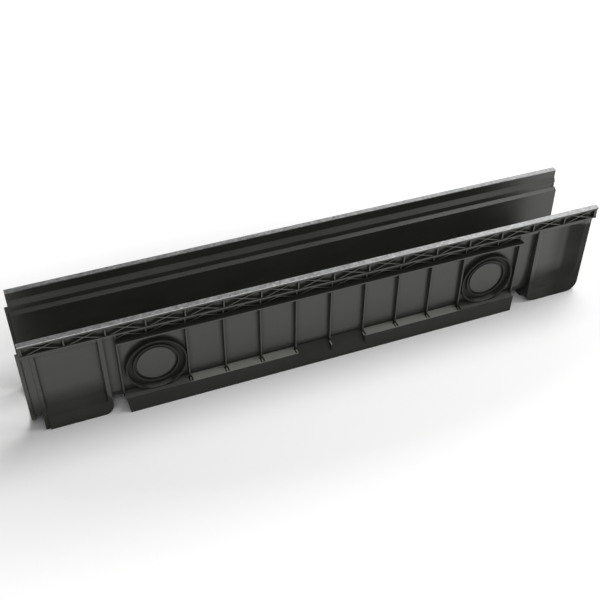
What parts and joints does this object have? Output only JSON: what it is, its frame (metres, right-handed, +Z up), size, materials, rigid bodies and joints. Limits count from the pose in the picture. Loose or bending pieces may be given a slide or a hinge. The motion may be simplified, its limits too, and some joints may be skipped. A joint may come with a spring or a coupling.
{
  "type": "channel drain",
  "caption": "Straight drainage channel with an open trough, grating rebate, ribbed sides and steel-edged rims.",
  "frame": {"origin": "on the ground under the middle of the whole length and width", "axes": "+X along the channel from the tongue end to the socket end, +Y across it to the rear rim, +Z up"},
  "size_m": [1.0054, 0.143, 0.191],
  "materials": {
    "channel_plastic": "semi-gloss moulded black polypropylene with fine flow texture",
    "galvanised_steel": "bright galvanised strip"
  },
  "bodies": {
    "root": {"channel_body": "channel_plastic", "edge_rail_front": "galvanised_steel", "edge_rail_rear": "galvanised_steel"}
  },
  "joints": []
}
